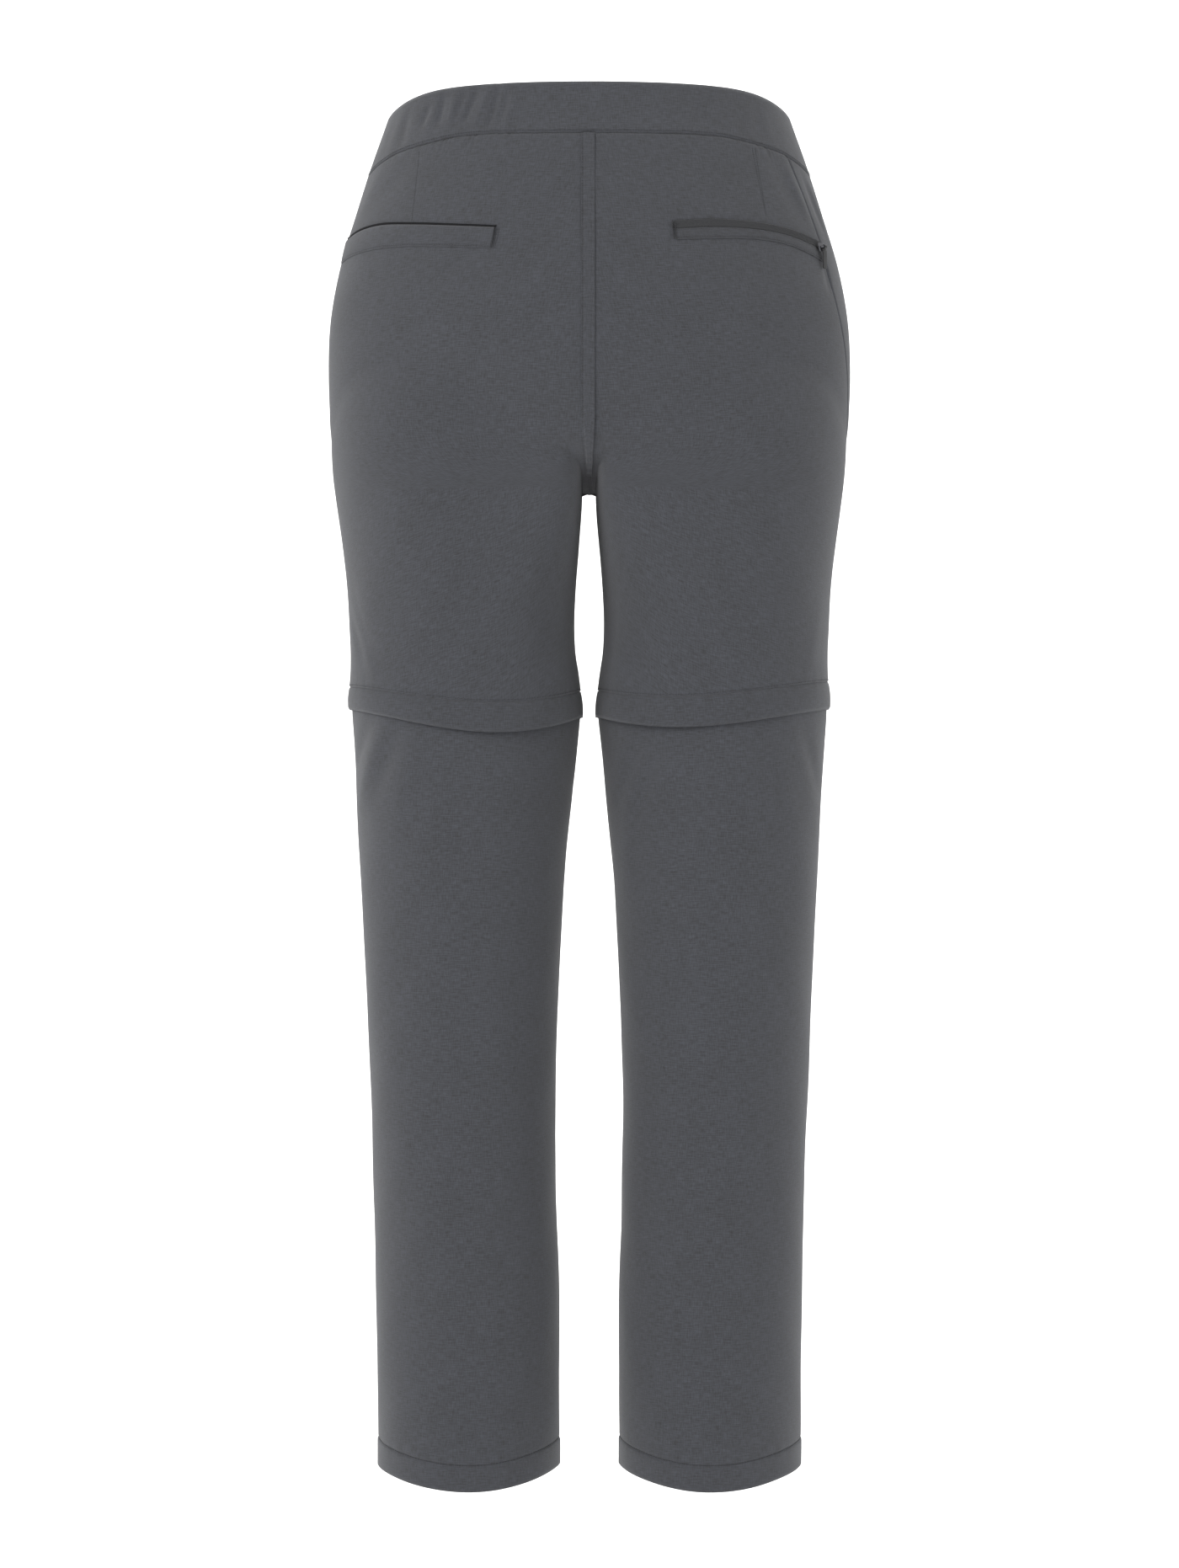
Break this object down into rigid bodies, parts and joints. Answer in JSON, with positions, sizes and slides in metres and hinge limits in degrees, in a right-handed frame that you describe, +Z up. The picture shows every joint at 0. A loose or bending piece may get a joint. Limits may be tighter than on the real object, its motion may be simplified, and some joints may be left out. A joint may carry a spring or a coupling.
{
  "type": "convertible zip-off trousers",
  "caption": "Dark grey walking trousers with a gathered back waistband, back pockets and legs that zip off at the knee.",
  "frame": {"origin": "centre of the waist, inside the waistband, where the wearer holds the garment up", "axes": "+Z up towards the waist opening, the legs hang down -Z, the front faces -Y and the back +Y, the wearer's left is +X"},
  "size_m": [0.3998, 0.2648, 1.0549],
  "materials": {
    "grey_woven_cloth": "matte woven",
    "waistband_cloth": "matte woven",
    "flap_cloth": "matte woven",
    "zip_tape": "matte woven",
    "slider_metal": "dark satin",
    "pull_plastic": "matte",
    "button_plastic": "satin"
  },
  "bodies": {
    "garment": {"waistband_back": "waistband_cloth", "waistband_front_left": "waistband_cloth", "waistband_front_right": "waistband_cloth", "waist_button": "button_plastic", "fly_placket": "grey_woven_cloth", "centre_back_seam": "grey_woven_cloth", "back_panel_left": "grey_woven_cloth", "back_panel_right": "grey_woven_cloth", "front_panel_left": "grey_woven_cloth", "front_panel_right": "grey_woven_cloth", "pocket_welt_left": "flap_cloth", "pocket_zip_tape": "zip_tape", "pocket_zip_slider": "slider_metal", "knee_flap_left": "flap_cloth", "knee_flap_right": "flap_cloth", "knee_zip_left": "zip_tape", "knee_zip_right": "zip_tape", "knee_zip_slider_left": "slider_metal", "knee_zip_slider_right": "slider_metal", "lower_back_left": "grey_woven_cloth", "lower_back_right": "grey_woven_cloth", "lower_front_left": "grey_woven_cloth", "lower_front_right": "grey_woven_cloth"},
    "pocket_pull": {"pocket_zip_pull": "pull_plastic"}
  },
  "joints": [
    {"name": "pocket_pull_swing", "type": "hinge", "parent": "garment", "child": "pocket_pull", "pos_m": [-0.1773, 0.07274, -0.09561], "axis": [0.5427, 0.8399, 0], "range_deg": [0, 110]}
  ]
}
